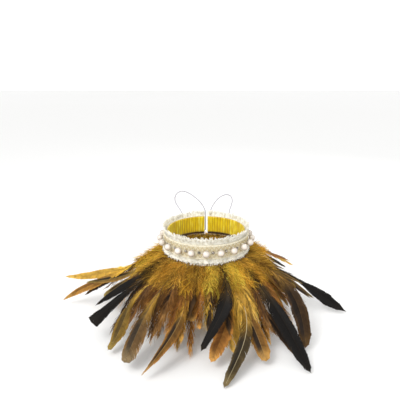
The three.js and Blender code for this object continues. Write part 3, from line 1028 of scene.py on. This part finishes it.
def feather_list(number, rng):
    """Every feather of a body, as its centre line and what its vane is like."""
    root, heading, reach, height = body_root(number)
    distance = math.hypot(root[0], root[1])
    home = math.degrees(math.atan2(root[1], root[0]))
    fills = FILL_STYLES.get(number, ALL_FILLS)
    from_front = abs((heading - FRONT_AZIMUTH + 180) % 360 - 180)
    fall = FRONT_FALL if from_front < 70 else SIDE_FALL if from_front < 100 else BACK_FALL
    found = []

    def add(tip, width, outline, style, arch=0.0, sweep=0.0, bend=0.0, roll=None, shift=0.0, start=0.36,
            soft=None, fluff=DOWN_STRANDS):
        roll = rng.uniform(-16, 16) if roll is None else roll
        foot = on_band(home + shift, distance + rng.uniform(-0.3, 0.3), root[2])
        line = Rachis(foot, on_band(*tip), arch, sweep, bend, roll)
        found.append((line, style, outline, width, start, start + 0.14 if soft is None else soft, fluff))

    own = OWN_FEATHERS.get(number)
    if own is None:
        for k, turn in enumerate((0, 7, -7)):
            add(
                tip=(heading + turn + rng.uniform(-1.5, 1.5), reach * (1 - 0.05 * k), height + 3 + 7 * k),
                width=rng.uniform(14, 20), outline=("blade", "paddle", "hackle")[(number + k) % 3],
                style=BACK_STYLES[(number * 3 + k) % len(BACK_STYLES)], arch=rng.uniform(-4, 8),
                sweep=rng.uniform(-20, 20), bend=rng.uniform(-10, 10), shift=turn * 0.6,
            )
    else:
        for azimuth, far, high, width, outline, style, rest in own:
            add((azimuth, far, high), width, outline, style, **rest)
    for k in range(LONG_FILLS + SHORT_FILLS):
        short = k >= LONG_FILLS
        place = (k - LONG_FILLS - (SHORT_FILLS - 1) / 2) * 4.2 if short else (k - (LONG_FILLS - 1) / 2) * 3.6
        turn = place + rng.uniform(-2, 2)
        slope = math.radians(rng.uniform(*fall) + (3 if short else 0))
        long = rng.uniform(38, 62) if short else rng.uniform(66, 106)
        add(
            tip=(heading + turn, distance + long * math.cos(slope), max(4, root[2] - long * math.sin(slope))),
            width=rng.uniform(13, 20), outline="hackle" if short or k % 2 else "willow",
            style=fills[rng.integers(len(fills))], arch=rng.uniform(0, 22), sweep=rng.uniform(-22, 22),
            bend=rng.uniform(-12, 12), roll=rng.uniform(-26, 26), shift=turn * 0.7,
            start=0.16 if short else 0.22, soft=1.0 if short else rng.uniform(0.62, 1.05),
        )
    return found


def make_spray(number, vane_material, down_material):
    """All the feathers that ride on one feather body."""
    rng = np.random.default_rng(500 + number)
    feathers = feather_list(number, rng)
    vanes, downs = Shape(), Shape()
    for k, (line, style, outline, width, start, soft, fluff) in enumerate(feathers):
        cell = (k / len(feathers), (k + 0.98) / len(feathers))
        long = line.length > 90
        add_vane(vanes, rng, line, style, outline, width, start, soft, cell)
        add_quill(vanes, line, style, 0.6 if long else 0.4, cell)
        add_down(downs, rng, line, style, rng.uniform(15, 20), min(0.42 * line.length, 38), fluff, cell)
    body = f"feather_{number:02d}"
    dark = body_root(number)[3] > 10
    for name, shape, material in (("vanes", vanes, vane_material), ("down", downs, down_material)):
        piece = shape.build(f"{name}_{number:02d}", material, smooth=False, mapped=True)
        attach(piece, body, "dark_feather" if dark else "gold_feather", *([body] if name == "vanes" else []))


# ---- Materials ----
def satin_material():
    material = new_material(
        "yellow_satin",
        {"Roughness": 0.32, "Sheen Weight": 0.25, "Anisotropic": 0.5, "Specular IOR Level": 0.6},
    )
    # The tone holds each point's fold depth: this ramp paints shade into the creases between pleats and a
    # highlight on their crowns.
    crease_shade_crown_highlight = [(0.0, srgb("b48c0c")), (0.2, srgb("e4c012")), (0.6, srgb("f6dc20")), (1.0, srgb("fff05c"))]
    color = add_ramp(material, attribute(material, "tone", "Fac"), crease_shade_crown_highlight)
    cloth = attribute(material, "cloth", "Vector")
    stretched = add_node(material, "ShaderNodeMapping", {"Scale": (1, 0.25, 1)})
    join(material, cloth, stretched.inputs["Vector"])
    noise = noise_on(material, 0.35, 3.0, stretched.outputs["Vector"])
    patches = add_ramp(material, noise, [(0.35, (0.86, 0.82, 0.66)), (0.65, (1, 1, 1))])
    paint(material, mixed(material, 0.8, color, patches, "MULTIPLY"))
    add_bump(material, weave(material, cloth, 2.2, 1.6), 0.25, 0.00008)
    return material


def woven_material(name, dark, light, count):
    material = new_material(name, {"Roughness": 0.85, "Sheen Weight": 0.2})
    cloth = attribute(material, "cloth", "Vector")
    threads = weave(material, cloth, count, count)
    color = add_ramp(material, threads, [(0.2, srgb(dark)), (0.8, srgb(light))])
    noise = noise_on(material, 0.6, 4.0, cloth)
    patches = add_ramp(material, noise, [(0.3, (0.8, 0.77, 0.7)), (0.7, (1, 1, 1))])
    paint(material, mixed(material, 0.7, color, patches, "MULTIPLY"))
    add_bump(material, threads, 0.6, 0.00015)
    return material


def thread_material(name, dark, light, metallic=0.0, roughness=0.6):
    material = new_material(name, {"Roughness": roughness, "Sheen Weight": 0.3, "Metallic": metallic})
    wave = bands(material, 0.9, 0.4, attribute(material, "cloth", "Vector"))
    color = add_ramp(material, wave, [(0.1, srgb(dark)), (0.7, srgb(light))])
    noise = noise_on(material, 380.0, 4.0)
    patches = add_ramp(material, noise, [(0.36, (0.76, 0.72, 0.62)), (0.52, (1, 1, 1))])
    paint(material, mixed(material, 0.8, color, patches, "MULTIPLY"))
    add_bump(material, wave, 0.5, 0.00012)
    return material


def pearl_material():
    material = new_material(
        "pearl_coat",
        {"Roughness": 0.25, "Coat Weight": 0.7, "Coat Roughness": 0.06, "Specular IOR Level": 0.7},
    )
    rim = add_node(material, "ShaderNodeLayerWeight", {"Blend": 0.35})
    noise = noise_on(material, 90.0)
    body = add_ramp(material, noise, [(0.35, srgb("dfd5c8")), (0.65, srgb("efe7dd"))])
    # The colour darkens to grey-brown towards each pearl's rim: painted shade.
    paint(material, mixed(material, rim.outputs["Facing"], body, srgb("a8978a")))
    add_bump(material, noise, 0.08, 0.0002)
    return material


def metal_material():
    material = new_material("cup_metal", {"Metallic": 1.0, "Roughness": 0.35})
    tarnish = [(0.3, srgb("6d6558")), (0.7, srgb("b3a78e"))]
    paint(material, add_ramp(material, noise_on(material, 700.0, 3.0), tarnish))
    return material


def crystal_material():
    material = new_material(
        "crystal", {"Roughness": 0.06, "Coat Weight": 1.0, "Metallic": 0.55, "Specular IOR Level": 0.9}
    )
    depths = [(0.35, srgb("716c64")), (0.65, srgb("d6cfc2"))]
    paint(material, add_ramp(material, noise_on(material, 420.0), depths))
    return material


def vane_material():
    """Barbs take the colour painted on them, broken by fine streaks, with a faint gloss."""
    material = new_material("feather_vane", {"Roughness": 0.55, "Specular IOR Level": 0.16})
    noise = noise_on(material, 210.0, 4.0, Roughness=0.65)
    streaks = add_ramp(material, noise, [(0.3, (0.55, 0.5, 0.44)), (0.68, (1.2, 1.16, 1.08))])
    paint(material, mixed(material, 0.75, attribute(material, "tone", "Color"), streaks, "MULTIPLY"))
    add_bump(material, noise, 0.2, 0.0002)
    return material


def down_material():
    settings = {"Roughness": 0.9, "Sheen Weight": 0.15, "Specular IOR Level": 0.08}
    material = new_material("feather_down", {**settings, "Sheen Tint": (1.0, 0.75, 0.25, 1)})
    noise = noise_on(material, 70.0, 3.0)
    patches = add_ramp(material, noise, [(0.32, (0.78, 0.66, 0.45)), (0.6, (1.2, 1.2, 1.0))])
    paint(material, mixed(material, 0.8, attribute(material, "tone", "Color"), patches, "MULTIPLY"))
    return material


def elastic_material():
    material = new_material("covered_elastic", {"Roughness": 0.5, "Sheen Weight": 0.3})
    place = add_node(material, "ShaderNodeTexCoord")
    wave = bands(material, 620.0, 1.0, place.outputs["Object"])
    paint(material, add_ramp(material, wave, [(0.2, srgb("a09ea6")), (0.7, srgb("c4c2c9"))]))
    add_bump(material, wave, 0.4, 0.0001)
    return material


# ---- Everything together ----
make_camera()
make_stage()
elastic = elastic_material()
make_cord("left", LEFT_CORD_ROUTE, elastic)
make_cord("right", RIGHT_CORD_ROUTE, elastic)

satin = satin_material()
buckram = woven_material("buckram", "c9c2ac", "ece6d4", 1.2)
tape = woven_material("brown_tape", "43311a", "6d5330", 1.6)
braid = woven_material("ivory_weave", "e2d4ab", "f7f0da", 1.0)
lace = thread_material("white_lace", "f8f4e2", "fffdf6")
ivory_thread = thread_material("ivory_thread", "e6dab6", "fbf6e6")
gold_thread = thread_material("gold_thread", "c2ac74", "e8d6a6", metallic=0.1, roughness=0.45)

for side in SIDES:
    plain_ribbon("buckram", side, "stiffener", STIFFENER, buckram)
    plain_ribbon("tape", side, "header_tape", TAPE, tape)
    pleated_lining(side, satin)
    ground, flat = braid_cloth(side, braid)
    trims = gimp_cords(side, ivory_thread, gold_thread)
    trims += frill("low_ruffle", side, "low_frill", LOW_FRILL, -1, lace, 41)[:2]
    ruffle, picots, flat = frill("top_ruffle", side, "top_frill", TOP_FRILL, 1, lace, 31)

make_pearls(pearl_material(), lace)
make_accents(metal_material(), crystal_material())

vane_look, down_look = vane_material(), down_material()
for number in range(1, 19):
    make_spray(number, vane_look, down_look)
